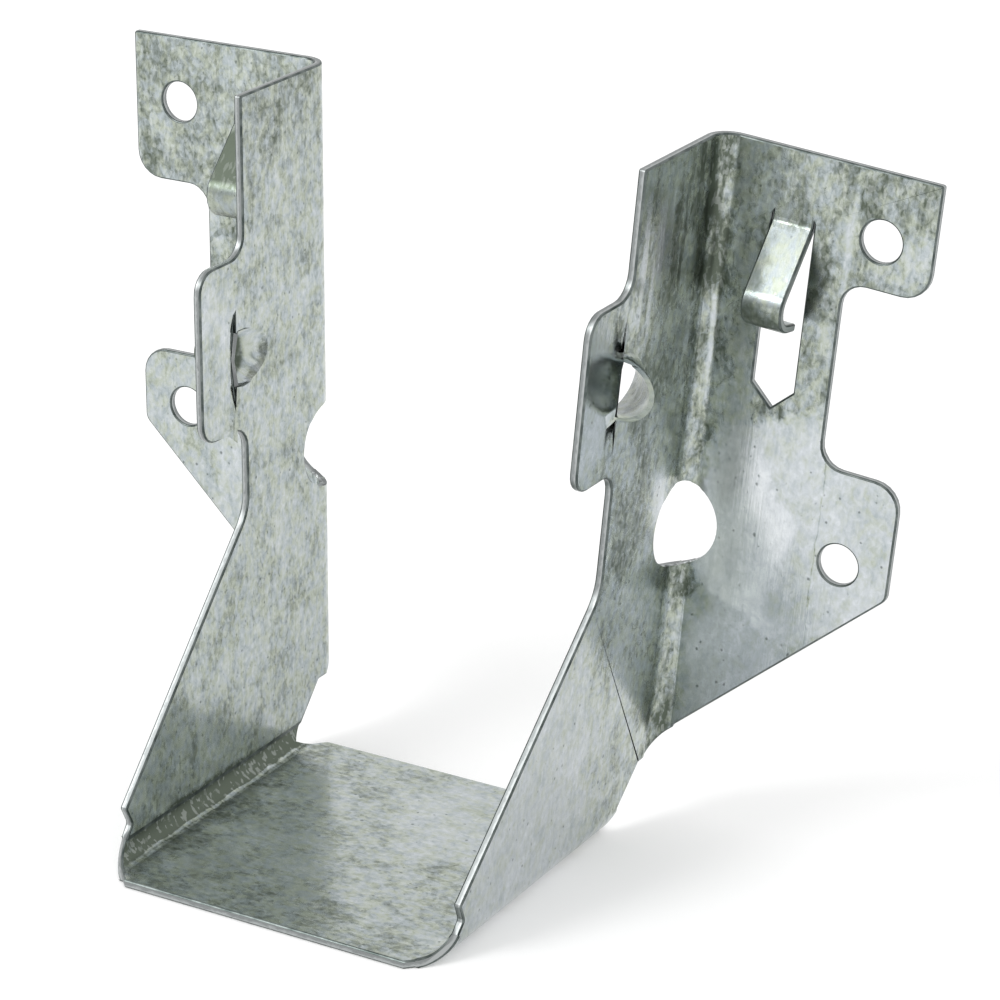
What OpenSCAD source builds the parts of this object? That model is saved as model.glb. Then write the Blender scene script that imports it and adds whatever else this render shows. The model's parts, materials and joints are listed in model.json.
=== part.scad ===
// Light-gauge joist hanger: one steel sheet, pierced, cut and folded into a stirrup.
//
// The frame: X runs across the hanger, +Y from the open front to the supporting face, +Z up.
// The origin is the middle of the seat's underside. Inside the modules the hanger is laid
// out from the seat's front edge, and hanger() moves it onto the origin at the end.

/* [Stirrup] */
// Clear width between the side plates, where the joist goes
inner_width = 39.7; // [36:0.1:60]
// Height of the side plates above the seat's underside
height = 78; // [76:0.5:100]
// From the seat's front edge to the back face of the nailing flanges
depth = 46.5; // [45:0.1:60]
// Length of the seat, front edge to rear edge
seat_length = 39.4; // [34:0.1:42]
// Overall width across the two nailing flanges, with the sides upright
overall_width = 90.2; // [88:0.2:110]

/* [Sheet] */
// Thickness of the sheet
sheet = 0.9; // [0.7:0.05:1.3]
// Inside radius of the long folds
bend_radius = 2; // [1:0.1:2.6]
// Outward lean of the left side, in degrees
left_lean = 0.3; // [0:0.1:6]
// Outward lean of the right side, in degrees
right_lean = 4.9; // [0:0.1:6]
// How much higher the lobes and the waist sit on the right side than on the left
stagger = 4; // [0:0.1:5]
// How much higher the nail dome sits on the right side than on the left
dome_stagger = 6; // [0:0.1:7]

/* [Side plate] */
// Depth of the upright part of a side plate, front edge to the flange's back face
plate_depth = 17.7; // [15:0.1:19]
// Height at which the sloping front edge meets the upright one
knee_height = 32; // [28:0.5:34]
// Height at which the slope starts, above the notch at the seat corner
slope_foot = 6.3; // [6:0.1:8]
// How far the front lobe stands forward of the upright edge
lobe_reach = 8.25; // [6:0.05:10]
// Underside of the left plate's front lobe
lobe_foot = 41.7; // [39:0.1:43]
// Height of the front lobe
lobe_height = 19.1; // [17:0.1:20]
// Radius of the front lobe's corners and of the fillets beside them
lobe_radius = 2.4; // [1:0.1:3]
// Radius that blends the slope into the upright edge
knee_radius = 5; // [2:0.5:8]
// Height of the square step at the plate's rear lower corner
rear_step = 6.8; // [5:0.1:8]

/* [Nailing flange] */
// Width of the flange across its waist, from the middle of the hanger
waist_half_width = 35.8; // [34:0.1:38]
// From the top edge down to the waist, on the left side
waist_drop = 16.5; // [15:0.1:18]
// Height of the waist's lower end on the left side
waist_foot = 41.3; // [40:0.1:43]
// Corner radius of the flange's lobes
flange_radius = 3; // [1:0.1:4]
// Radius of the waist's fillets
waist_radius = 2.5; // [1:0.1:4]
// Height at which the outer edge turns into the slope
slope_top = 32.6; // [31.6:0.1:36]
// Radius of the corner at the top of that slope
slope_radius = 1.5; // [0.5:0.1:3]

/* [Nail holes] */
// Diameter of the round nail holes
nail_hole_d = 4.5; // [3:0.1:5]
// From the middle of the hanger to the nail holes
nail_hole_x = 39.3; // [38.8:0.1:40]
// From the top edge down to the upper nail hole
upper_hole_drop = 7.3; // [5:0.1:9]
// Height of the lower nail hole
lower_hole_z = 35; // [34.5:0.1:37]
// Diameter of the large hole punched across the flange fold
fold_hole_d = 9.9; // [7:0.1:10]
// Height of the large hole's middle
fold_hole_z = 34.6; // [33:0.1:36]
// How far the large hole reaches into the side plate, from the start of the fold
fold_hole_reach = 3.6; // [3:0.1:4]

/* [Slot and prong] */
// Width of the arrow-footed slot
slot_width = 4.75; // [4.5:0.05:6]
// From the middle of the hanger to the slot's centre line
slot_x = 29.5; // [28:0.1:30]
// From the top edge down to the slot's top
slot_drop = 6.9; // [5:0.1:9]
// Length of the slot down to its shoulders
slot_length = 18.85; // [18:0.05:20]
// Length of the arrow point below the shoulders
slot_point = 2.25; // [1:0.05:3]
// Corner radius at the slot's top
slot_radius = 0.5; // [0.2:0.1:1]
// Gap left beside the prong on each side
prong_gap = 0.1; // [0.05:0.05:0.3]
// Forward lean of the right prong, in degrees
right_prong_lean = 38; // [25:1:48]
// Forward lean of the left prong, which is sprung further
left_prong_lean = 44; // [25:1:48]
// Straight length of the prong
prong_leg = 7.5; // [7:0.1:9]
// Inside radius of the prong's hinge
hinge_radius = 1; // [0.5:0.1:1.5]
// Inside radius of the prong's rolled foot
roll_radius = 1.8; // [1:0.1:2]
// Angle through which the foot is rolled
roll_angle = 118; // [100:1:130]
// Straight tail behind the roll
prong_tail = 1.7; // [0.5:0.1:2]

/* [Nail dome] */
// How far the straight cut that opens the dome lies ahead of the plate's upright front edge
dome_lead = 1.9; // [1.3:0.1:3.3]
// Height of the left dome's middle
dome_z = 49.6; // [48:0.1:52]
// Outside radius of the tilted tube that the dome is part of
dome_radius = 3.5; // [3:0.1:4]
// Tilt of that tube, the angle at which a nail is driven through the joist
dome_tilt = 38; // [32:1:45]
// Wall of the dome, drawn thinner than the sheet
dome_wall = 0.45; // [0.4:0.05:1]
// How far the strip's rear edge is drawn outward beside the dome
lip_height = 0.6; // [0.2:0.1:1]
// Width of the strip that is drawn outward
lip_width = 2.4; // [1:0.1:3]
// Length of that strip
lip_length = 12; // [9:0.5:13]

/* [Corner notches] */
// How far the seat's front corners are set back where the fold starts
front_nick = 0.85; // [0.3:0.05:1.2]
// How far the seat's rear corners are set back where the fold starts
rear_nick = 1; // [0.3:0.05:1.5]
// Height of the nib that points forward above the front notch
nib = 1.3; // [0.6:0.1:2]
// How far the notch above the nib is cut back, as a share of the nib's height
nib_slant = 0.8; // [0.5:0.05:1]
// Radius at the root of the notch above the nib
nib_root_radius = 0.5; // [0.2:0.05:0.6]
// Radius where that notch runs out into the sloping front edge
nib_end_radius = 0.4; // [0.2:0.05:0.6]

/* [Hidden] */
$fn = 48;
steel = [0.66, 0.69, 0.68];
past = 1;                    // how far a cut runs past the face it opens
through = 8 * sheet;         // length of a cut that runs right through a fold
sharp = 0.3;                 // radius of a sheared outside corner
root = 1;                    // how far the prong's strip runs up into the flange
bend_steps = 8;              // facets of each of the prong's bends
hole_sectors = 3;            // sectors in which the large hole is carried round its fold
mid = bend_radius + sheet / 2;                       // radius of a fold's middle surface
fold = mid * PI / 2;                                 // flat length of a right-angled fold
seat_fold_x = inner_width / 2 - bend_radius;         // where the seat ends and its fold starts
seat_fold_z = sheet + bend_radius;                   // height of the seat fold's axis
plate_x = inner_width / 2;                           // inner face of a side plate
flange_fold_x = plate_x + sheet + bend_radius;       // where the flange starts
flange_fold_y = depth - sheet - bend_radius;         // where the side plate ends
plate_front = depth - plate_depth;                   // upright front edge of a side plate
dome_y = plate_front - dome_lead;                    // straight cut that opens the dome
flange_edge = overall_width / 2;                     // outer edge of a flange
slot_top = height - slot_drop;

function unit(v) = v / norm(v);

// Points of an arc of radius r in the corner b, between the edges to a and to c
function corner(a, b, c, r, steps = 6) =
    let (u = unit(a - b),
         v = unit(c - b),
         half = acos(u * v) / 2,
         centre = b + unit(u + v) * r / sin(half),
         first = b + u * r / tan(half) - centre,
         side = cross(u, v) > 0 ? -1 : 1,
         sweep = side * (180 - 2 * half))
    [for (i = [0 : steps])
        let (turn = sweep * i / steps)
        centre + [first.x * cos(turn) - first.y * sin(turn),
                  first.x * sin(turn) + first.y * cos(turn)]];

// Outline through corners given as [x, y, radius]; a radius of 0 keeps the corner sharp
function rounded(corners) =
    let (n = len(corners),
         at = [for (p = corners) [p.x, p.y]])
    [for (i = [0 : n - 1])
        each corners[i].z > 0
            ? corner(at[(i + n - 1) % n], at[i], at[(i + 1) % n], corners[i].z)
            : [at[i]]];

// A point turned about the origin
function turned(v, angle) = [v.x * cos(angle) - v.y * sin(angle), v.x * sin(angle) + v.y * cos(angle)];

// One side of a strip that starts along +X, at a distance from the strip's middle line. Each
// bend is [straight run before it, radius of the middle line, angle], and a positive angle
// turns the strip to its left
function bent(bends, side, i = 0, at = [0, 0], way = 0) =
    i == len(bends) ? [] :
    let (run = bends[i].x,
         radius = bends[i].y * sign(bends[i].z),
         angle = bends[i].z,
         centre = at + turned([run, radius], way))
    concat([for (k = [0 : bend_steps])
                centre + turned([0, side - radius], way + angle * k / bend_steps)],
           bent(bends, side, i + 1, centre + turned([0, -radius], way + angle), way + angle));

// The same points in the other order
function reversed(points) = [for (i = [len(points) - 1 : -1 : 0]) points[i]];

// A sheet strip that starts along +X in the XY plane, with its width along Z
module strip(bends, tail, width) {
    half = sheet / 2;
    way = bends[0].z + bends[1].z;
    low = bent(bends, -half);
    high = bent(bends, half);
    end = turned([tail, 0], way);
    linear_extrude(width)
        polygon(concat([[0, -half]], low, [low[len(low) - 1] + end],
                       [high[len(high) - 1] + end], reversed(high), [[0, half]]));
}

// A quarter or less of a tube: a strip's fold, from the XZ plane towards +Y about the Z axis
module fold_arc(angle, width) {
    rotate_extrude(angle = angle)
        translate([bend_radius, 0]) square([sheet, width]);
}

// The flat seat, with its four corners nicked where the folds start
module seat() {
    front = [[-seat_fold_x, front_nick],
             [front_nick - seat_fold_x, 0],
             [seat_fold_x - front_nick, 0],
             [seat_fold_x, front_nick]];
    rear = [[seat_fold_x, seat_length - rear_nick],
            [seat_fold_x - rear_nick, seat_length],
            [rear_nick - seat_fold_x, seat_length],
            [-seat_fold_x, seat_length - rear_nick]];
    linear_extrude(sheet) polygon(concat(front, rear));
}

// The fold between the seat and a side plate, cut back at 45 degrees in the flat at both
// ends: the front end slopes one way, and the rear end is a V with its root on the fold
module seat_fold(angle) {
    flat = mid * angle * PI / 180;
    chord = 2 * mid * sin(angle / 2);
    rise = flat / chord;
    rear = seat_length - rear_nick;
    difference() {
        translate([seat_fold_x, rear, seat_fold_z])
            rotate([90, 0, 0])
                rotate([0, 0, -90])
                    fold_arc(angle, rear - front_nick);
        translate([seat_fold_x, 0, sheet / 2])
            rotate([0, -angle / 2, 0])
                linear_extrude(through, center = true) {
                    polygon([[-past, front_nick - past * rise],
                             [chord + past, front_nick + flat + past * rise],
                             [chord + past, -past],
                             [-past, -past]]);
                    polygon([[-past, rear + past * rise],
                             [chord / 2, rear - flat / 2],
                             [chord + past, rear + past * rise]]);
                }
    }
}

// Outline of a side plate in its own flat, as [y, z]. Here y runs from the flange's fold, so
// that plate and fold meet exactly at 0 whatever the depth
module plate_outline(angle, raise) {
    flat = mid * angle * PI / 180;
    notch_y = front_nick + flat - flange_fold_y;
    rear_y = seat_length - rear_nick - flange_fold_y;
    front_y = plate_front - flange_fold_y;
    lobe_y = front_y - lobe_reach;
    lobe_z = lobe_foot + raise;
    polygon(rounded([
        [notch_y, seat_fold_z, 0],
        [notch_y + nib * nib_slant, seat_fold_z + nib, nib_root_radius],
        [notch_y, slope_foot, nib_end_radius],
        [front_y, knee_height, knee_radius],
        [front_y, lobe_z, lobe_radius],
        [lobe_y, lobe_z, lobe_radius],
        [lobe_y, lobe_z + lobe_height, lobe_radius],
        [front_y, lobe_z + lobe_height, lobe_radius],
        [front_y, height, sharp],
        [0, height, 0],
        [0, rear_step, 0],
        [rear_y + rear_step - seat_fold_z, rear_step, sharp],
        [rear_y, seat_fold_z, 0]]));
}

// The part of a round bar that slopes down to the XY plane: its axis leaves the given height
// at X = 0 and falls towards +X at the dome's tilt, and the bar is cut off square at X = 0
module sloping_bar(radius, level) {
    reach = radius / sin(dome_tilt) + level / tan(dome_tilt);
    intersection() {
        translate([0, 0, level])
            rotate([0, 90 + dome_tilt, 0])
                cylinder(r = radius, h = 4 * reach, center = true);
        translate([0, -2 * radius, -past]) cube([2 * reach, 4 * radius, 4 * reach]);
    }
}

// The lens-shaped ramp that the lance draws outward along the cut, centred on Y = 0 and
// ending at X = 0, where its top is above the XY plane by the given height
module lip(top) {
    reach = (pow(lip_length / 2, 2) + pow(lip_height, 2)) / (2 * lip_height);
    slope = atan(lip_height / lip_width);
    intersection() {
        translate([0, 0, top])
            rotate([0, -slope, 0])
                translate([0, 0, -reach])
                    rotate([0, 90, 0])
                        cylinder(r = reach, h = 4 * lip_width, center = true);
        translate([-lip_width - past, -lip_length, -past])
            cube([lip_width + past, 2 * lip_length, 2 * sheet + top]);
    }
}

// A side plate in its own flat: X is along the joist, Y is up and Z is outward
module side_plate(angle, raise, dome_raise) {
    hole_y = flange_fold_y - fold_hole_reach + fold_hole_d / 2;
    difference() {
        union() {
            translate([flange_fold_y, 0, 0])
                linear_extrude(sheet) plate_outline(angle, raise);
            translate([dome_y, dome_z + dome_raise, 0]) {
                intersection() {
                    sloping_bar(dome_radius, sheet);
                    translate([0, -2 * dome_radius, 0]) cube(4 * dome_radius);
                }
                intersection() {
                    lip(sheet + lip_height);
                    translate([-2 * lip_width, -lip_length, 0]) cube(2 * lip_length);
                }
            }
        }
        translate([dome_y, dome_z + dome_raise, 0]) {
            sloping_bar(dome_radius - dome_wall, sheet);
            lip(lip_height);
        }
        translate([hole_y, fold_hole_z, -past])
            cylinder(d = fold_hole_d, h = sheet + 2 * past);
    }
}

// Half height of the large hole at a distance along the flat from the start of the fold
function fold_hole_half(distance) =
    sqrt(pow(fold_hole_d / 2, 2) - pow(distance + fold_hole_reach - fold_hole_d / 2, 2));

// One sector of the large hole where it is carried round the fold: a bore across the sector
// that meets the flat hole's half heights at both of the sector's ends
module fold_hole_sector(i) {
    step = 90 / hole_sectors;
    start = i * step;
    chord = 2 * mid * sin(step / 2);
    near = fold_hole_half(fold * i / hole_sectors);
    far = fold_hole_half(fold * (i + 1) / hole_sectors);
    middle = (pow(chord, 2) + pow(far, 2) - pow(near, 2)) / (2 * chord);
    reach = bend_radius + sheet + past;
    intersection() {
        linear_extrude(fold_hole_z + fold_hole_d)
            polygon([[0, 0],
                     reach * [-cos(start), sin(start)],
                     reach * [-cos(start + step), sin(start + step)]]);
        translate([-mid * cos(start), mid * sin(start), fold_hole_z])
            rotate([90, 0, 90 - start - step / 2])
                translate([middle, 0, 0])
                    cylinder(r = norm([middle, near]), h = 2 * reach, center = true);
    }
}

// The upright fold between a side plate and its flange. Its lower end climbs at 45 degrees
// in the flat, and the large round hole is carried round it
module flange_fold() {
    chord = mid * sqrt(2);
    slope = fold / chord;
    difference() {
        translate([flange_fold_x, flange_fold_y, rear_step])
            rotate([0, 0, 90])
                fold_arc(90, height - rear_step);
        translate([plate_x + sheet / 2, flange_fold_y, 0])
            rotate([90, 0, 45])
                linear_extrude(through, center = true)
                    polygon([[-past, rear_step - past * slope],
                             [chord + past, rear_step + (chord + past) * slope],
                             [chord + past, rear_step - past * slope]]);
        translate([flange_fold_x, flange_fold_y, 0])
            for (i = [0 : hole_sectors - 1]) fold_hole_sector(i);
    }
}

// Outline of a nailing flange as [x, z], with x from the middle of the hanger
module flange_outline(raise) {
    foot = rear_step + fold;
    polygon(rounded([
        [flange_fold_x, foot, 0],
        [flange_fold_x, height, 0],
        [flange_edge, height, sharp],
        [flange_edge, height - waist_drop + raise, flange_radius],
        [waist_half_width, height - waist_drop + raise, waist_radius],
        [waist_half_width, waist_foot + raise, waist_radius],
        [flange_edge, waist_foot + raise, flange_radius],
        [flange_edge, slope_top, slope_radius]]));
}

// The slot from which the prong is cut: round-cornered at the top, arrow-pointed below
module slot_outline() {
    half = slot_width / 2;
    polygon(rounded([
        [slot_x - half, slot_top, slot_radius],
        [slot_x + half, slot_top, slot_radius],
        [slot_x + half, slot_top - slot_length, 0],
        [slot_x, slot_top - slot_length - slot_point, 0],
        [slot_x - half, slot_top - slot_length, 0]]));
}

// A nailing flange with its slot and nail holes
module flange(raise) {
    hole_x = flange_fold_x - fold - fold_hole_reach + fold_hole_d / 2;
    translate([0, depth, 0])
        rotate([90, 0, 0])
            difference() {
                linear_extrude(sheet)
                    difference() {
                        flange_outline(raise);
                        slot_outline();
                    }
                for (z = [height - upper_hole_drop, lower_hole_z])
                    translate([nail_hole_x, z, -past])
                        cylinder(d = nail_hole_d, h = sheet + 2 * past);
                translate([hole_x, fold_hole_z, -past])
                    cylinder(d = fold_hole_d, h = sheet + 2 * past);
            }
}

// The spring prong: a strip that hinges forward at the slot's top and is rolled at its foot
module prong(lean) {
    width = slot_width - 2 * prong_gap;
    hinge = [root + slot_radius, hinge_radius + sheet / 2, -lean];
    roll = [prong_leg, roll_radius + sheet / 2, roll_angle];
    translate([slot_x - width / 2, depth - sheet / 2, slot_top + root])
        rotate([0, 90, 0])
            strip([hinge, roll], prong_tail, width);
}

// One whole side on the right of the seat, leaning outward about the seat fold's axis
module side(lean, raise, dome_raise, prong_lean) {
    angle = 90 - lean;
    seat_fold(angle);
    translate([seat_fold_x, 0, seat_fold_z])
        rotate([0, lean, 0])
            translate([-seat_fold_x, 0, -seat_fold_z]) {
                translate([plate_x, 0, 0]) rotate([90, 0, 90]) side_plate(angle, raise, dome_raise);
                flange_fold();
                flange(raise);
                prong(prong_lean);
            }
}

module hanger() {
    color(steel)
        translate([0, -seat_length / 2, 0]) {
            seat();
            side(right_lean, stagger, dome_stagger, right_prong_lean);
            mirror([1, 0, 0]) side(left_lean, 0, 0, left_prong_lean);
        }
}

hanger();
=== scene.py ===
# %% [markdown]
# # A folded joist hanger
#
# A light joist hanger is one sheet of galvanised steel, pierced, cut and folded. This lesson
# dresses its solid model. The shape is already right, so the work is in the things that the
# solid doesn't hold: the rolled-over edges that a punch leaves, the grain that follows the
# sheet round its folds, and the mottled zinc skin.

# %% Load the frame
import json
import math

import bpy
import bmesh
from mathutils import Matrix, Vector
from mathutils.bvhtree import BVHTree


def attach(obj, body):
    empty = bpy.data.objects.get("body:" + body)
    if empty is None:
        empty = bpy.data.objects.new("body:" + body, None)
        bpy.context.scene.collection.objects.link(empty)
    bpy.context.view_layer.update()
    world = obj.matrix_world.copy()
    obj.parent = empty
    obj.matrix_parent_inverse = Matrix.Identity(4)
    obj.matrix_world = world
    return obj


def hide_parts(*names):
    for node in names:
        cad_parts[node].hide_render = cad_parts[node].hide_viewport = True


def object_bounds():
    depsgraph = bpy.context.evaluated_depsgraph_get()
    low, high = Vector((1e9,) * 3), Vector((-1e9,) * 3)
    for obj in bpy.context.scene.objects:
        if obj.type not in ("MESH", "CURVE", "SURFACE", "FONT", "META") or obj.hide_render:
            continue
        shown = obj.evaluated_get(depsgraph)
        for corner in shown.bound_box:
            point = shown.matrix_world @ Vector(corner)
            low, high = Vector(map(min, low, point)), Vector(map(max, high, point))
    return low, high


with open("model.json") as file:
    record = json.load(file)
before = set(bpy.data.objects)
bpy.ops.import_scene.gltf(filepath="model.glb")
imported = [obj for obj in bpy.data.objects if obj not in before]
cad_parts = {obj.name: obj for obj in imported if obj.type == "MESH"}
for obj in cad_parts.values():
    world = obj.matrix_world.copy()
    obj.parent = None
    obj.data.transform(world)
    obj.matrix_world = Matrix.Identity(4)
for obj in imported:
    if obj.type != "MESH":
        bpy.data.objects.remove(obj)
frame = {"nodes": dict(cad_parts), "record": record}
solid_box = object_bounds()
MM = 0.001                          # a millimetre, in metres
print("solid box, mm:", [[round(v / MM, 2) for v in corner] for corner in solid_box])

# %% [markdown]
# ## Sizes
#
# A few sizes of the real sheet are enough to tell where its folds are. They are the sheet's
# own dimensions in millimetres, turned to metres here. The back face of the nailing flanges
# comes from a mount in the record.

# %% Sizes of the sheet
SHEET = 0.9 * MM            # thickness
BEND = 2.0 * MM             # inside radius of every fold
PLATE_X = 39.7 / 2 * MM     # inner face of a side plate
LEAN = {"left": math.radians(0.3), "right": math.radians(4.9)}  # outward lean of a plate

mounts = {m["name"]: m for m in frame["record"]["mounts"]}
back_y = mounts["right_header_face"]["pos_m"][1]
mid = BEND + SHEET / 2                      # radius of a fold's middle surface
seat_edge = PLATE_X - BEND                  # where the seat ends and its fold starts
plate_foot = SHEET + BEND                   # where a side plate starts
plate_end = back_y - SHEET - BEND           # where a side plate ends and its fold starts
flange_start = PLATE_X + SHEET + BEND       # where a nailing flange starts
prong_front = plate_end - 9 * MM            # the domes lie before this line, the prongs behind
print("flange starts", round(flange_start / MM, 2), "mm from the middle")

# %% Selecting
def deselect():
    """Leaves object mode with nothing selected."""
    if bpy.context.object and bpy.context.object.mode != "OBJECT":
        bpy.ops.object.mode_set(mode="OBJECT")
    bpy.ops.object.select_all(action="DESELECT")


def take(piece):
    """Makes a piece the only selected and active one."""
    deselect()
    piece.select_set(True)
    bpy.context.view_layer.objects.active = piece


# %% [markdown]
# ## The camera
#
# A long lens from the front right, a little above the hanger's top, shows both side plates,
# the seat and one whole nailing flange. The camera's place is measured from the middle of the
# seat's underside, and its aim is a short list of angles.

# %% Camera
camera_data = bpy.data.cameras.new("camera")
camera = bpy.data.objects.new("camera", camera_data)
bpy.context.scene.collection.objects.link(camera)
bpy.context.scene.camera = camera
camera_data.sensor_width = 36.0
camera_data.lens = 132.29
camera_data.clip_start = 0.01
camera_data.clip_end = 20.0
camera.location = Vector((185.61, -297.28, 179.67)) * MM
azimuth, elevation, roll = (math.radians(a) for a in (29.658, 21.663, 0.664))
aim = Matrix.Rotation(azimuth, 3, "Z") @ Matrix.Rotation(math.pi / 2 - elevation, 3, "X")
camera.rotation_euler = (aim @ Matrix.Rotation(roll, 3, "Z")).to_euler()
print("camera, mm from the seat's middle:", round(camera.location.length / MM))

# %% [markdown]
# ## Colours and nodes
#
# A finish is a chain of nodes that ends in an output. Colours are written as sRGB codes, as on
# a screen or a paint chart, but Blender adds and mixes light in linear values, so each code is
# turned into those. One short function then adds a node with its settings and its links.

# %% Colours, nodes and materials
def linear(code):
    """An sRGB hex colour as the linear values that Blender works in."""
    channels = [int(code[i:i + 2], 16) / 255 for i in (1, 3, 5)]
    levels = [c / 12.92 if c <= 0.04045 else ((c + 0.055) / 1.055) ** 2.4 for c in channels]
    return levels + [1.0]


def add(tree, kind, settings=None, links=None):
    """Adds one node: settings are its properties or sockets, links feed its sockets.

    A link comes from a socket, or from a node, whose first output in use is then taken.
    """
    node = tree.nodes.new(kind)
    for key, value in (settings or {}).items():
        if isinstance(key, int) or key in node.inputs:
            node.inputs[key].default_value = value
        else:
            setattr(node, key, value)
    for key, origin in (links or {}).items():
        if isinstance(origin, bpy.types.Node):
            origin = next(socket for socket in origin.outputs if socket.enabled)
        tree.links.new(origin, node.inputs[key])
    return node


def new_material(name):
    """An empty node material, with its tree and its output node."""
    material = bpy.data.materials.new(name)
    material.use_nodes = True
    tree = material.node_tree
    tree.nodes.clear()
    return material, tree, tree.nodes.new("ShaderNodeOutputMaterial")


print("middle grey, linear:", round(linear("#808080")[0], 3))

# %% [markdown]
# ## The room
#
# Polished or plated metal shows its room. A product like this is lit inside a white tent, so
# nearly everything it mirrors is white, and its dark parts are those that mirror the hanger
# itself. One soft panel up at the front left is brighter than the tent and picks out the
# faces that lean back.

# %% World, floor and lamp
world = bpy.data.worlds.new("tent")
bpy.context.scene.world = world
world.use_nodes = True
tent = world.node_tree.nodes["Background"]
tent.inputs["Color"].default_value = (1.0, 1.0, 1.0, 1.0)
tent.inputs["Strength"].default_value = 1.0
bpy.context.scene.view_settings.view_transform = "Standard"

deselect()
bpy.ops.mesh.primitive_plane_add(size=4.0, location=(0.0, 0.0, 0.0))
floor = bpy.context.object
floor.name = "floor"
paper, tree, output = new_material("white_paper_sweep")
matt = add(tree, "ShaderNodeBsdfDiffuse", {"Color": linear("#E6E6E6")})
glow = add(tree, "ShaderNodeEmission", {"Strength": 0.22})      # the sweep is lit from below too
both = add(tree, "ShaderNodeAddShader", links={0: matt, 1: glow})
tree.links.new(both.outputs[0], output.inputs["Surface"])
floor.data.materials.append(paper)

HANGER_MIDDLE = Vector((0, 0, 0.04))
panel_light = bpy.data.lights.new("front_left_panel", "AREA")
panel_light.shape = "SQUARE"
panel_light.size = 0.5
panel_light.energy = 6.0
panel = bpy.data.objects.new("front_left_panel", panel_light)
bpy.context.scene.collection.objects.link(panel)
panel.location = (-0.6, -0.85, 0.85)
panel.rotation_euler = (HANGER_MIDDLE - panel.location).to_track_quat("-Z", "Y").to_euler()
print("soft panel, W:", panel_light.energy, "m wide:", panel_light.size)

# %% [markdown]
# ## The sheet
#
# The solid's mesh is loose triangles, so a copy of it is merged and its flat faces are
# joined again. Then its edges get what the press gave them. A punch rolls the sheet's edge
# over on the side that it enters, and on the other side the burr is soon dulled, so both
# sides get the same narrow round.

# %% Copy the solid and join its flat faces
MERGE = 0.02 * MM                   # points nearer than this are one
FLAT = math.radians(0.5)            # faces that meet at less than this are one
sheet = bpy.data.objects.new("folded_sheet", frame["nodes"]["hanger"].data.copy())
bpy.context.scene.collection.objects.link(sheet)
sheet.data.materials.clear()
take(sheet)
bpy.ops.object.mode_set(mode="EDIT")
bpy.ops.mesh.select_all(action="SELECT")
bpy.ops.mesh.remove_doubles(threshold=MERGE)
bpy.ops.mesh.dissolve_limited(angle_limit=FLAT)
bpy.ops.object.mode_set(mode="OBJECT")
print("sheet faces", len(sheet.data.polygons))

# %% Where each point lay on the flat blank
def unfold(point):
    """A point's place on the flat blank, and the direction of the sheet's rolling grain.

    The place is (along the grain, across it, height above the sheet's middle). The grain
    runs up the left side plate, across the seat and up the right one.
    """
    side = "right" if point.x >= 0 else "left"
    sign = 1.0 if side == "right" else -1.0
    across_x, up = abs(point.x), point.z
    if across_x <= seat_edge and up < plate_foot:
        return Vector((point.x, point.y, up - SHEET / 2)), Vector((1, 0, 0))
    out, drop = across_x - seat_edge, plate_foot - up
    turn = math.atan2(out, drop)
    full = math.pi / 2 - LEAN[side]
    if 0 <= turn < full:
        grain = Vector((sign * math.cos(turn), 0, math.sin(turn)))
        along = seat_edge + mid * turn
        return Vector((sign * along, point.y, mid - math.hypot(out, drop))), grain
    lean = LEAN[side]
    x = seat_edge + out * math.cos(lean) + drop * math.sin(lean)
    height = -drop * math.cos(lean) + out * math.sin(lean)
    along = sign * (seat_edge + mid * full + height)
    grain = Vector((sign * math.sin(lean), 0, math.cos(lean)))
    if x > flange_start and point.y > prong_front:
        across = plate_end + mid * math.pi / 2 + x - flange_start
        return Vector((along, across, point.y - back_y + SHEET / 2)), grain
    if point.y > plate_end:
        turn = math.atan2(point.y - plate_end, flange_start - x)
        radius = math.hypot(point.y - plate_end, flange_start - x)
        return Vector((along, plate_end + mid * turn, radius - mid)), grain
    return Vector((along, point.y, PLATE_X + SHEET / 2 - x)), grain


def store_vectors(mesh, name, vectors):
    """Writes one vector per vertex as a named attribute."""
    layer = mesh.attributes.new(name, "FLOAT_VECTOR", "POINT")
    layer.data.foreach_set("vector", [c for v in vectors for c in v])


far_corner = unfold(Vector(solid_box[1]))[0]
print("the far top corner on the blank, mm:", [round(c / MM, 1) for c in far_corner])

# %% Tell the sheared faces from the rolled skin
# A face of the skin has one thickness of metal under it. A sheared face is small and has
# more, as it looks along the sheet.
ZINC, SHEARED, ROLLED = 0, 1, 2     # material slots of the sheet
DEEP = 1.25 * SHEET                 # more metal than this lies under a sheared face
LARGEST_CUT = 45 * MM * MM          # no sheared face is larger
UNDER_FACE = 0.01 * MM              # a ray starts this far under its face
for _ in (ZINC, SHEARED, ROLLED):
    sheet.data.materials.append(None)       # the bevel needs the slots to be there


def depth_below(surface, mesh, triangle):
    """How far the metal goes down under the middle of a triangle."""
    normal = mesh.polygons[triangle.polygon_index].normal
    middle = sum((mesh.vertices[i].co for i in triangle.vertices), Vector()) / 3
    distance = surface.ray_cast(middle - normal * UNDER_FACE, -normal)[3]
    return distance or 0.0


mesh = sheet.data
mesh.calc_loop_triangles()
surface = BVHTree.FromPolygons([v.co for v in mesh.vertices],
                               [t.vertices for t in mesh.loop_triangles])
widest = {}
for triangle in mesh.loop_triangles:
    best = widest.get(triangle.polygon_index)
    if best is None or triangle.area > best.area:
        widest[triangle.polygon_index] = triangle
for index, triangle in widest.items():
    polygon = mesh.polygons[index]
    deep = depth_below(surface, mesh, triangle) > DEEP
    polygon.material_index = SHEARED if deep and polygon.area < LARGEST_CUT else ZINC
cut = sum(p.area for p in mesh.polygons if p.material_index == SHEARED)
print("sheared faces", sum(p.material_index == SHEARED for p in mesh.polygons),
      "area, mm2", round(cut / MM ** 2, 1))

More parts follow.
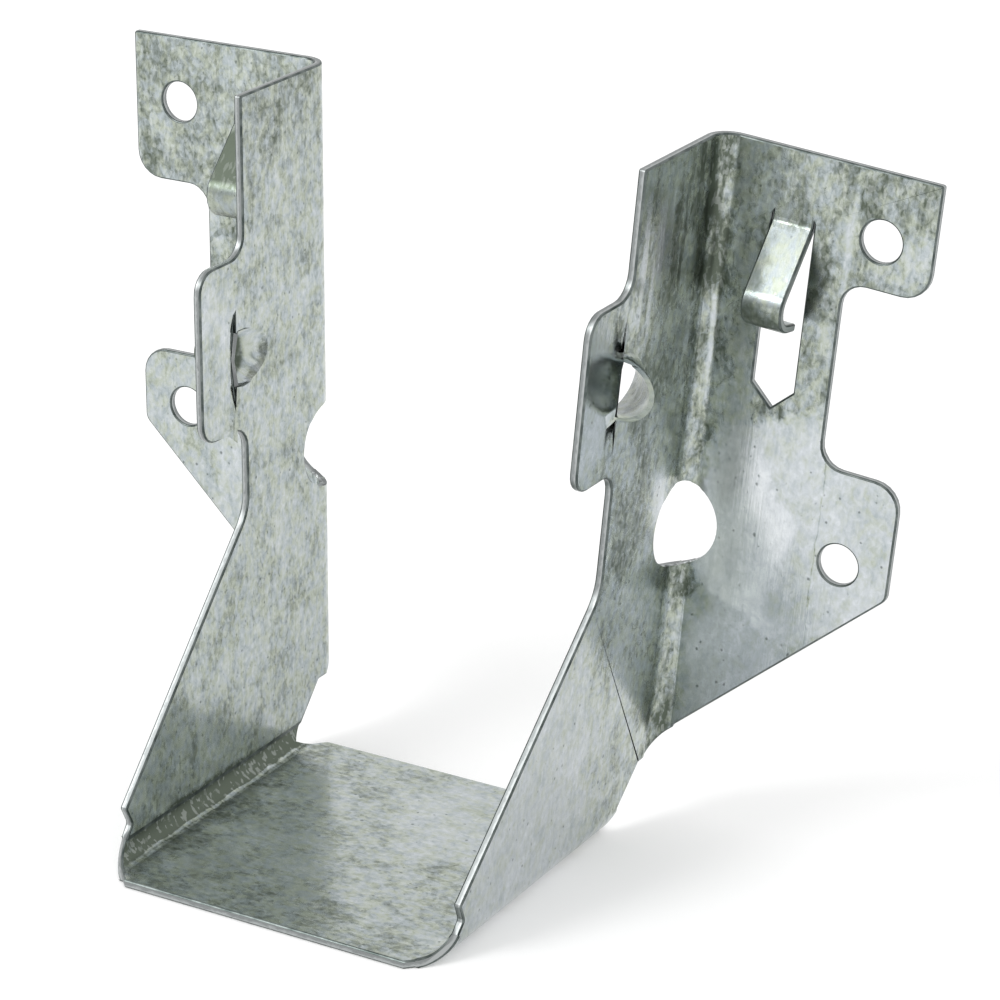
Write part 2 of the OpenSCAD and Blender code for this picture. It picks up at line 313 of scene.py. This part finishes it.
# %% Roll the edges over
# Only the lines between the skin and a sheared face roll over. The two large holes across
# the folds stay sharp, since their walls meet the curved skin at a slant.
ROLLOVER = 0.20 * MM                        # how far back an edge is rolled over
SMOOTH = math.radians(50)                   # faces that meet at less than this are shaded as one
HOLE_LOW, HOLE_HIGH = 28.5 * MM, 40.5 * MM  # the fold holes' reach up the folds
hole_front = back_y - SHEET - 2 * BEND      # their reach forward
hole_side = flange_start + 3 * BEND         # and outward
shell = bmesh.new()
shell.from_mesh(mesh)
weights = shell.edges.layers.float.new("bevel_weight_edge")
for edge in shell.edges:
    kinds = {face.material_index for face in edge.link_faces}
    middle = (edge.verts[0].co + edge.verts[1].co) / 2
    at_fold_hole = (HOLE_LOW < middle.z < HOLE_HIGH and middle.y > hole_front
                    and abs(middle.x) < hole_side)
    edge[weights] = 1.0 if kinds == {ZINC, SHEARED} and not at_fold_hole else 0.0
print("edges rolled over", sum(edge[weights] > 0 for edge in shell.edges))
shell.to_mesh(mesh)
shell.free()
rolled = sheet.modifiers.new("rollover", "BEVEL")
rolled.limit_method = "WEIGHT"
rolled.width = ROLLOVER
rolled.segments = 2
rolled.use_clamp_overlap = False
rolled.material = ROLLED
rolled.harden_normals = True
flat = sheet.modifiers.new("flat_faces", "WEIGHTED_NORMAL")
flat.keep_sharp = True
flat.weight = 100
take(sheet)
bpy.ops.object.shade_smooth_by_angle(angle=SMOOTH)
bpy.ops.object.modifier_apply(modifier="rollover")
bpy.ops.object.modifier_apply(modifier="flat_faces")
print("after the rollover", len(sheet.data.polygons))

places = [unfold(v.co) for v in sheet.data.vertices]
store_vectors(sheet.data, "blank", [p[0] for p in places])
store_vectors(sheet.data, "grain", [p[1] for p in places])

# %% [markdown]
# ## Galvanised zinc
#
# Hot-dip galvanised sheet is steel that was drawn through molten zinc. The zinc freezes in
# spangles, angular crystals that catch the light a little differently, and rolls then leave a
# fine grain along the sheet. Weeks in a damp store and a few presses later it is mottled: dull
# grey-green where the zinc has turned, blue-grey and clean where it has not, with specks, pits
# and bright flakes. All patterns read the blank's flat coordinates, so they run on round the
# folds as on the real sheet.
#
# The skin is built in two steps. First comes one number at each place: how far the zinc has
# turned, with painted shade and painted highlights added in. It is 0 or less where the skin is
# clean or carries a painted highlight, and about 1 where it is worst or carries painted shade.
# It is a sum of soft patches in chosen places and of finer patterns. Then one chain of colours
# reads that number.

# %% The blank's coordinates, in millimetres
FIRST, SECOND = 6, 7                # the sockets of a colour mix's two colours


def blank_in_mm(tree):
    """A node with the place on the blank: along the grain, across it and height."""
    blank = add(tree, "ShaderNodeAttribute", {"attribute_name": "blank"})
    return add(tree, "ShaderNodeVectorMath", {"operation": "SCALE", "Scale": 1 / MM},
               {0: blank.outputs["Vector"]})


zinc, tree, output = new_material("hot_dip_zinc")
place = blank_in_mm(tree)
grain = add(tree, "ShaderNodeAttribute", {"attribute_name": "grain"})
# Two copies of the place wander to and fro: one by millimetres, for the borders of patches,
# and one by tenths of a millimetre, for rubs with their painted highlights and shade, and flakes.
wander = add(tree, "ShaderNodeTexNoise", {"Scale": 0.22, "Detail": 4.0, "Roughness": 0.6},
             {"Vector": place})
wander = add(tree, "ShaderNodeVectorMath", {"operation": "SUBTRACT", 1: (0.5, 0.5, 0.5)},
             {0: wander.outputs["Color"]})
ragged = add(tree, "ShaderNodeVectorMath", {"operation": "MULTIPLY_ADD", 1: (9.0, 7.0, 0.0)},
             {0: wander, 2: place})
shaky = add(tree, "ShaderNodeVectorMath", {"operation": "MULTIPLY_ADD", 1: (1.6, 1.2, 0.0)},
            {0: wander, 2: place})
print("nodes for the place on the blank", len(tree.nodes))

# %% Patches where the zinc has turned or stayed clean, and patches of painted shade and light
# Each patch: its middle and its reach on the blank (along, across, height), how sharp its
# border is from 0 to 1, and its strength. A height of -0.45 is the outer or front face of the
# sheet, and 0.45 the inner or back one. Prongs and domes stand millimetres out of the sheet,
# and their heights say how far.
TYPICAL = 0.36                      # how far the zinc has turned where there is no patch
# Most patches are stains or clean zinc. Those in the folds, the domes, on the prongs, beside the
# prong, round the slot's tip and by the seat's left fold are painted shade, and the right plate's
# lobe and the seat's right rear get painted light.
PATCHES = [
    ((90, 14, -0.45), (22, 22, 0.8), 0.5, 0.02),      # right plate, top
    ((60, 12, -0.45), (12, 9, 0.8), 0.4, 0.32),       # right plate, above its middle
    ((76, 16, -0.45), (13, 8, 0.8), 0.4, 0.22),       # right plate, beside the dome
    ((74, 2, -0.45), (11, 6, 0.8), 0.4, -0.55),       # right plate, lobe, lighter: painted light that lifts its shade
    ((48, 14, -0.45), (14, 11, 0.8), 0.3, 0.06),      # right plate, middle
    ((28, -3, -0.45), (24, 20, 0.8), 0.4, -0.45),     # right plate, foot
    ((29, 22, -0.45), (18, 11, 0.8), 0.4, 0.04),      # right plate, low by the fold
    ((56, 41, -0.45), (13, 17, 0.8), 0.90, -0.42),    # right flange, clean part
    ((54, 33, -0.45), (12, 6.5, 0.8), 0.6, -0.55),    # right flange, cleanest part
    ((38, 34, -0.45), (12, 10, 0.8), 0.4, -0.60),     # right flange, foot
    ((60, 26, -0.45), (60, 3.2, 0.8), 0.5, 0.25),     # right fold, painted shade in the crease
    ((93, 25.8, -0.45), (18, 2.6, 0.8), 0.5, 0.42),   # right fold, top, painted shade
    ((55, 26.4, -0.45), (14, 2.4, 0.8), 0.5, 0.30),   # right fold, above its hole, painted shade
    ((20, 26.4, -0.45), (16, 2.6, 0.8), 0.5, 0.60),   # right fold, below its hole, painted shade
    ((86, 42, -0.45), (22, 16, 0.8), 0.8, 0.16),      # right flange, upper half
    ((97, 45, -0.45), (8, 14, 0.8), 0.5, 0.16),       # right flange, top
    ((84, 38.2, -0.45), (7, 1.4, 0.8), 0.2, 0.38),    # right flange, painted shadow beside the prong
    ((69, 34.5, -0.45), (3, 3.5, 0.8), 0.4, 0.20),    # right flange, painted shade round the tip of the slot
    ((84, 35, -5.0), (14, 8, 4.3), 0.6, -0.06),       # right prong
    ((79.5, 35, -5.5), (3.2, 8, 4.5), 0.4, 0.60),     # right prong's rolled foot, painted shade
    ((85, 32.6, -4.0), (6, 2.6, 4.0), 0.3, 0.45),     # right prong, painted shade along its left border
    ((-86, 35, -4.0), (11, 8, 3.6), 0.6, 0.80),       # left prong, painted shade on its upper part
    ((-98, 16, 0.45), (12, 16, 0.8), 0.5, 0.25),      # left plate, top
    ((-88, 42, -0.45), (20, 18, 0.8), 0.7, 0.20),     # left flange, upper half
    ((-50, 42, -0.45), (18, 16, 0.8), 0.5, -0.15),    # left flange, lower half
    ((-18, 4, 0.45), (5, 26, 0.8), 0.4, 0.22),        # seat, painted shade along the left fold
    ((0, -18, 0.45), (26, 6, 0.8), 0.5, 0.15),        # seat, front edge
    ((9, 12, 0.45), (14, 14, 0.8), 0.5, -0.20),       # seat, right rear, lighter: painted light
    ((73, 9, -3.4), (9, 9, 2.6), 0.8, 0.15),          # right dome, painted shade in its hollow
    ((71.5, 14, -1.6), (4.5, 4.5, 2), 0.3, 0.50),     # right dome, far end, painted shade in its hollow
    ((-72, 3, 0.45), (12, 6, 0.8), 0.5, -0.16),       # left plate, lobe
    ((-67, 9, -3.4), (9, 9, 2.6), 0.8, 0.80),         # left dome, painted shade in its hollow
]
SCUFFS_AND_PAINTED_LIGHT = [
    ((75, 26.8, -0.45), (9, 0.5, 0.8), 0.3, -0.65),     # bright rubs and painted highlights on the right fold
    ((20, 26.0, -0.45), (12, 0.4, 0.8), 0.3, -0.60),
    ((84, 23.6, -0.45), (26, 1.5, 0.8), 0.3, 0.30),     # painted shade beside it
    ((88, 14.4, -0.45), (7, 0.9, 0.8), 0.3, -0.60),     # rubs down the right plate
    ((88, 17.5, -0.45), (12, 1.3, 0.8), 0.3, 0.35),
    ((94, 11.6, -0.45), (6, 1.6, 0.8), 0.4, 0.35),
    ((92, 21.0, -0.45), (9, 2.6, 0.8), 0.4, 0.30),
    ((95, 21.8, -0.45), (8, 0.8, 0.8), 0.3, 0.60),
    ((86, 19.2, -0.45), (8, 0.6, 0.8), 0.3, 0.55),
    ((82, 13.0, -0.45), (6, 0.7, 0.8), 0.2, -0.70),
    ((91, 16.2, -0.45), (4, 0.5, 0.8), 0.3, -0.45),
    ((58, 20.4, -0.45), (4, 1.8, 0.8), 0.5, -0.55),     # bright spot by the fold's hole
    ((88, 41.0, -0.45), (8, 0.6, 0.8), 0.3, -0.35),     # rubs down the right flange
    ((90, 47.4, -0.45), (6, 0.5, 0.8), 0.3, -0.35),
    ((80, 30.5, -0.45), (14, 0.6, 0.8), 0.3, -0.25),
    ((89, 11, -0.45), (12, 0.9, 0.8), 0.3, -0.60),      # bright rub by the right plate's front
    ((-18.7, 2, 0.45), (0.4, 24, 0.8), 0.3, -0.90),     # bright rub and painted highlight on the left seat fold
    ((-20.2, 2, 0.45), (2.4, 36, 0.8), 0.6, 0.75),      # painted shade in the crease beside it
    ((55, 41.6, -0.45), (30, 0.12, 0.8), 0.3, 0.40),    # scribed line down the right flange
]
turn_and_shade = add(tree, "ShaderNodeMath", {"operation": "ADD", 0: TYPICAL, 1: 0.0})
for shape, patches in ((ragged, PATCHES), (shaky, SCUFFS_AND_PAINTED_LIGHT)):
    for middle, reach, sharp, strength in patches:
        near = add(tree, "ShaderNodeMapping",
                   {"vector_type": "TEXTURE", "Location": middle, "Scale": reach},
                   {"Vector": shape})
        far = add(tree, "ShaderNodeVectorMath", {"operation": "LENGTH"}, {0: near})
        patch = add(tree, "ShaderNodeMapRange",
                    {"interpolation_type": "SMOOTHSTEP", "From Min": sharp, "From Max": 1.0,
                     "To Min": strength, "To Max": 0.0}, {"Value": far.outputs["Value"]})
        turn_and_shade = add(tree, "ShaderNodeMath", {"operation": "ADD"}, {0: turn_and_shade, 1: patch})
print("patches", len(PATCHES), "scuffs", len(SCUFFS_AND_PAINTED_LIGHT))

# %% Finer patterns of the zinc skin
# Mottles of about a millimetre, on patches of about five.
mottle_place = add(tree, "ShaderNodeMapping", {"Scale": (1.15, 1.45, 0.3)}, {"Vector": place})
mottle = add(tree, "ShaderNodeTexNoise",
             {"Scale": 1.0, "Detail": 5.0, "Roughness": 0.62, "Distortion": 0.5},
             {"Vector": mottle_place})
cloud_place = add(tree, "ShaderNodeMapping", {"Scale": (0.16, 0.24, 0.3)}, {"Vector": place})
cloud = add(tree, "ShaderNodeTexNoise",
            {"Scale": 1.0, "Detail": 3.0, "Roughness": 0.55, "Distortion": 0.9},
            {"Vector": cloud_place})
# Blots of three or four millimetres have a crisp border, where the zinc flowed off last.
blot_place = add(tree, "ShaderNodeMapping", {"Scale": (0.26, 0.34, 0.3), "Location": (0, 70, 0)},
                 {"Vector": place})
blot = add(tree, "ShaderNodeTexNoise",
           {"Scale": 1.0, "Detail": 5.0, "Roughness": 0.55, "Distortion": 0.6},
           {"Vector": blot_place})
blots = add(tree, "ShaderNodeMapRange", {"From Min": 0.50, "From Max": 0.53,
                                         "To Min": -0.08, "To Max": 0.10}, {"Value": blot})
# Where the skin turned, it went bluish or greenish by turns.
tone_place = add(tree, "ShaderNodeMapping", {"Scale": (0.7, 0.9, 0.3), "Location": (40, 0, 0)},
                 {"Vector": place})
tone = add(tree, "ShaderNodeTexNoise", {"Scale": 1.0, "Detail": 3.0, "Distortion": 0.4},
           {"Vector": tone_place})
# Roll lines are finer than a tenth of a millimetre. These are three times coarser, to show.
line_place = add(tree, "ShaderNodeMapping", {"Scale": (0.14, 3.2, 0.3)}, {"Vector": place})
lines = add(tree, "ShaderNodeTexNoise", {"Scale": 1.0, "Detail": 4.0, "Roughness": 0.6},
            {"Vector": line_place})
# Flakes are angular bits of bright zinc, about half a millimetre long.
flake_place = add(tree, "ShaderNodeMapping", {"Scale": (1.5, 3.0, 0.3)}, {"Vector": shaky})
flakes = add(tree, "ShaderNodeTexVoronoi", {"Scale": 1.0}, {"Vector": flake_place})
flake_pick = add(tree, "ShaderNodeSeparateColor", links={0: flakes.outputs["Color"]})
# Specks are dark pits about a quarter of a millimetre wide, nearly one a square millimetre.
speck_place = add(tree, "ShaderNodeMapping", {"Scale": (1.0, 1.15, 0.3)}, {"Vector": shaky})
specks = add(tree, "ShaderNodeTexVoronoi", {"Scale": 1.0}, {"Vector": speck_place})
speck_pick = add(tree, "ShaderNodeSeparateColor", links={0: specks.outputs["Color"]})
print("nodes with the finer patterns", len(tree.nodes))

# %% How far the zinc has turned, with the painted shade and light
# Where the press drew or bent the metal out of the sheet's plane, it rubbed the mottles off.
away = add(tree, "ShaderNodeSeparateXYZ", links={0: place})
away = add(tree, "ShaderNodeMath", {"operation": "ABSOLUTE"}, {0: away.outputs["Z"]})
rubbed = add(tree, "ShaderNodeMapRange", {"From Min": 0.6, "From Max": 1.2,
                                          "To Min": 1.0, "To Max": 0.4}, {"Value": away})
# The finer patterns show less where the skin is clean.
fuss = add(tree, "ShaderNodeMapRange", {"From Min": -0.3, "From Max": 0.5,
                                        "To Min": 0.60, "To Max": 0.95}, {"Value": turn_and_shade})
fuss = add(tree, "ShaderNodeMath", {"operation": "MULTIPLY"}, {0: fuss, 1: rubbed})
detail = add(tree, "ShaderNodeMath", {"operation": "SUBTRACT", 1: 0.5}, {0: mottle})
detail = add(tree, "ShaderNodeMath", {"operation": "MULTIPLY", 1: 1.8}, {0: detail})
clouds = add(tree, "ShaderNodeMath", {"operation": "SUBTRACT", 1: 0.5}, {0: cloud})
clouds = add(tree, "ShaderNodeMath", {"operation": "MULTIPLY_ADD", 1: 1.3},
             {0: clouds, 2: detail})
ruled = add(tree, "ShaderNodeMath", {"operation": "SUBTRACT", 1: 0.5}, {0: lines})
ruled = add(tree, "ShaderNodeMath", {"operation": "MULTIPLY_ADD", 1: 0.5}, {0: ruled, 2: clouds})
ruled = add(tree, "ShaderNodeMath", {"operation": "ADD"}, {0: ruled, 1: blots})
level = add(tree, "ShaderNodeMath", {"operation": "MULTIPLY_ADD"}, {0: ruled, 1: fuss, 2: turn_and_shade})
print("nodes with their sum", len(tree.nodes))

# %% Colours of the skin
# From clean to worst the colour goes from near white over a middling grey to grey-green; the same
# colours also draw the painted highlights and painted shade that the patches add.
half_dark = add(tree, "ShaderNodeMapRange", {"From Min": -0.35, "From Max": TYPICAL},
                  {"Value": level})
full_dark = add(tree, "ShaderNodeMapRange", {"From Min": TYPICAL, "From Max": 1.05},
                  {"Value": level})
hue = add(tree, "ShaderNodeMapRange", {"From Min": 0.40, "From Max": 0.60}, {"Value": tone})
middling = add(tree, "ShaderNodeMix", {"data_type": "RGBA", FIRST: linear("#A6AFB1"),
                                       SECOND: linear("#AEB5A8")}, {0: hue})
bright = add(tree, "ShaderNodeMapRange", {"From Min": -1.0, "From Max": -0.3,
                                          "To Min": 1.0, "To Max": 0.0}, {"Value": level})
clean_and_glint = add(tree, "ShaderNodeMix", {"data_type": "RGBA", FIRST: linear("#CBD0D4"),
                                    SECOND: linear("#ECEFF1")}, {0: bright})
skin = add(tree, "ShaderNodeMix", {"data_type": "RGBA"},
           {0: half_dark, FIRST: clean_and_glint, SECOND: middling})
skin = add(tree, "ShaderNodeMix", {"data_type": "RGBA", SECOND: linear("#5C6459")},
           {0: full_dark, FIRST: skin})
# Bright flakes show most where the zinc has turned.
flake_share = add(tree, "ShaderNodeMapRange", {"From Min": 0.80, "From Max": 0.86},
                  {"Value": flake_pick})
flake_share = add(tree, "ShaderNodeMath", {"operation": "MULTIPLY"}, {0: flake_share, 1: fuss})
flake_share = add(tree, "ShaderNodeMath", {"operation": "MULTIPLY", 1: 0.24}, {0: flake_share})
skin = add(tree, "ShaderNodeMix", {"data_type": "RGBA", SECOND: linear("#D5DAD8")},
           {0: flake_share, FIRST: skin})
# A speck's size differs from cell to cell, and one cell in five has none.
speck_size = add(tree, "ShaderNodeMapRange", {"From Min": 0.20, "From Max": 1.0,
                                              "To Min": 0.0, "To Max": 0.25}, {"Value": speck_pick})
speck_edge = add(tree, "ShaderNodeMath", {"operation": "SUBTRACT"},
                 {0: speck_size, 1: specks.outputs["Distance"]})
speck = add(tree, "ShaderNodeMapRange", {"From Min": 0.0, "From Max": 0.14, "To Max": 0.72},
            {"Value": speck_edge})
skin = add(tree, "ShaderNodeMix", {"data_type": "RGBA", SECOND: linear("#5A625F")},
           {0: speck, FIRST: skin})
print("nodes with the colours", len(tree.nodes))

# %% Gloss and relief of the skin
# The more the zinc has turned, the duller it is. Mottles and roll lines stand up a little.
rough = add(tree, "ShaderNodeMapRange", {"From Min": 0.2, "From Max": 1.0,
                                         "To Min": 0.19, "To Max": 0.34}, {"Value": level})
relief = add(tree, "ShaderNodeMath", {"operation": "ADD"}, {0: mottle, 1: lines})
bump = add(tree, "ShaderNodeBump", {"Strength": 0.30, "Distance": 0.02 * MM},
           {"Height": relief})
metal = add(tree, "ShaderNodeBsdfPrincipled", {"Metallic": 1.0, "Anisotropic": 0.4},
            {"Base Color": skin, "Roughness": rough, "Normal": bump,
             "Tangent": grain.outputs["Vector"]})
tree.links.new(metal.outputs[0], output.inputs["Surface"])
sheet.data.materials[ZINC] = zinc
print("nodes of the zinc skin", len(tree.nodes))

# %% [markdown]
# ## Sheared edges
#
# A press shears the sheet part of the way through and then tears it. A cut edge so has a
# bright band, rubbed smooth by the tool, and a dull, torn one beside it. Between the edge and
# the skin runs the rollover, a thin rounded line; its dark colour is painted shade, for the
# dark line that the round shows. Both are steel with little zinc on it, so they're duller than the
# skin.

# %% Sheared edge
sheared, tree, output = new_material("sheared_steel_edge")
place = blank_in_mm(tree)
tear_place = add(tree, "ShaderNodeMapping", {"Scale": (1.2, 1.2, 2.4)}, {"Vector": place})
tears = add(tree, "ShaderNodeTexNoise", {"Scale": 1.0, "Detail": 4.0, "Roughness": 0.6},
            {"Vector": tear_place})
height = add(tree, "ShaderNodeSeparateXYZ", links={0: place})
torn = add(tree, "ShaderNodeMath", {"operation": "MULTIPLY_ADD", 1: 0.8},
           {0: tears, 2: height.outputs["Z"]})
torn = add(tree, "ShaderNodeMapRange", {"From Min": 0.25, "From Max": 0.45}, {"Value": torn})
edge = add(tree, "ShaderNodeMix", {"data_type": "RGBA", FIRST: linear("#ADB1B1"),
                                   SECOND: linear("#8B8F8F")}, {0: torn})
edge_metal = add(tree, "ShaderNodeBsdfPrincipled", {"Metallic": 1.0, "Roughness": 0.42},
                 {"Base Color": edge})
tree.links.new(edge_metal.outputs[0], output.inputs["Surface"])
sheet.data.materials[SHEARED] = sheared
print("nodes of the sheared edge", len(tree.nodes))

# %% Rollover
# The rollover's dark colour is painted shade for the dark line that a rounded edge shows; the noise
# only varies it.
lip, tree, output = new_material("rolled_lip_painted_shade")
lip_shade_noise = add(tree, "ShaderNodeTexNoise", {"Scale": 0.7, "Detail": 4.0, "Roughness": 0.6},
           {"Vector": blank_in_mm(tree)})
lip_shade_noise = add(tree, "ShaderNodeMapRange", {"From Min": 0.35, "From Max": 0.65}, {"Value": lip_shade_noise})
shade = add(tree, "ShaderNodeMix", {"data_type": "RGBA", FIRST: linear("#4A5250"),
                                    SECOND: linear("#757C7A")}, {0: lip_shade_noise})
lip_metal = add(tree, "ShaderNodeBsdfPrincipled", {"Metallic": 1.0, "Roughness": 0.35},
                {"Base Color": shade})
tree.links.new(lip_metal.outputs[0], output.inputs["Surface"])
sheet.data.materials[ROLLED] = lip
print("materials:", [material.name for material in sheet.data.materials])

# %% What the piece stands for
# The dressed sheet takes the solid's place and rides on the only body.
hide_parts("hanger")
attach(sheet, "root")
